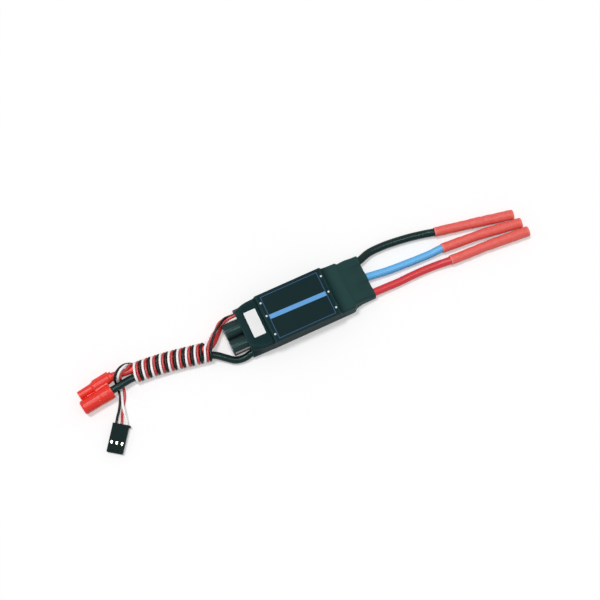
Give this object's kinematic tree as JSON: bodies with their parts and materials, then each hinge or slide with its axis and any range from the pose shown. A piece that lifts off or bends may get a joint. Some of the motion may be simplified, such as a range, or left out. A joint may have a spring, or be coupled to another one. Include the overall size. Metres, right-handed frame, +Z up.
{
  "type": "electronic speed controller",
  "caption": "Flat brushless motor speed controller in black heat-shrink, with bullet-ended motor leads, battery leads and plug, and a wound servo lead with its plug.",
  "frame": {"origin": "middle of the underside of the controller's body and capacitors, without the free leads, on the surface that it lies on", "axes": "+X along the body towards the motor leads, +Z up out of the printed face, +Y towards the red battery lead"},
  "size_m": [0.2345, 0.0431, 0.011],
  "materials": {
    "black_shrink": "black heat-shrink film, satin",
    "red_shrink": "coral red heat-shrink tube, satin",
    "black_silicone": "black silicone lead, satin",
    "blue_silicone": "light blue silicone lead, satin",
    "red_silicone": "red silicone lead, satin",
    "white_vinyl": "white insulated servo wire",
    "red_vinyl": "red insulated servo wire",
    "black_vinyl": "black insulated servo wire",
    "servo_winding": "turns of the three insulated servo wires",
    "red_moulding": "red moulded nylon, half gloss",
    "black_moulding": "black moulded plastic, satin",
    "gold_plate": "gold-plated brass",
    "solder": "bright solder over tinned copper strands",
    "heatsink_aluminium": "bare rolled plate",
    "thermal_pad": "soft grey heat-conducting pad",
    "circuit_board": "green solder resist",
    "chip_black": "black moulded chip package",
    "header_black": "black moulded header",
    "resonator_ceramic": "tan ceramic",
    "capacitor_sleeve": "dark sleeve shrunk on the can",
    "white_sticker": "plain white paper sticker"
  },
  "bodies": {
    "root": {"body_sleeve": "black_shrink", "serial_sticker": "white_sticker", "heatsink_plate": "heatsink_aluminium", "thermal_pad": "thermal_pad", "power_board": "circuit_board", "mosfet_1": "chip_black", "mosfet_2": "chip_black", "mosfet_3": "chip_black", "mosfet_4": "chip_black", "mosfet_5": "chip_black", "mosfet_6": "chip_black", "mosfet_7": "chip_black", "mosfet_8": "chip_black", "mosfet_9": "chip_black", "mosfet_10": "chip_black", "mosfet_11": "chip_black", "mosfet_12": "chip_black", "control_board": "circuit_board", "microcontroller": "chip_black", "resonator": "resonator_ceramic", "regulator_1": "chip_black", "regulator_2": "chip_black", "pin_header_1": "header_black", "pin_header_2": "header_black", "capacitor_1": "capacitor_sleeve", "capacitor_2": "capacitor_sleeve", "motor_joint_black": "solder", "motor_joint_blue": "solder", "motor_joint_red": "solder", "battery_joint_red": "solder", "battery_joint_black": "solder", "servo_joint_white": "solder", "servo_joint_red": "solder", "servo_joint_black": "solder", "motor_lead_black": "black_silicone", "motor_lead_blue": "blue_silicone", "motor_lead_red": "red_silicone", "motor_bullet_sleeve_black": "red_shrink", "motor_bullet_sleeve_blue": "red_shrink", "motor_bullet_sleeve_red": "red_shrink", "motor_bullet_black": "gold_plate", "motor_bullet_blue": "gold_plate", "motor_bullet_red": "gold_plate", "battery_lead_red": "red_silicone", "battery_lead_black": "black_silicone", "battery_plug_housing": "red_moulding", "battery_bullet_pin": "gold_plate", "battery_bullet_socket": "gold_plate", "servo_lead_winding": "servo_winding", "servo_wire_white_start": "white_vinyl", "servo_wire_red_start": "red_vinyl", "servo_wire_black_start": "black_vinyl", "servo_wire_white_end": "white_vinyl", "servo_wire_red_end": "red_vinyl", "servo_wire_black_end": "black_vinyl", "servo_plug_housing": "black_moulding", "servo_contact_black": "gold_plate", "servo_contact_red": "gold_plate", "servo_contact_white": "gold_plate"}
  },
  "joints": []
}
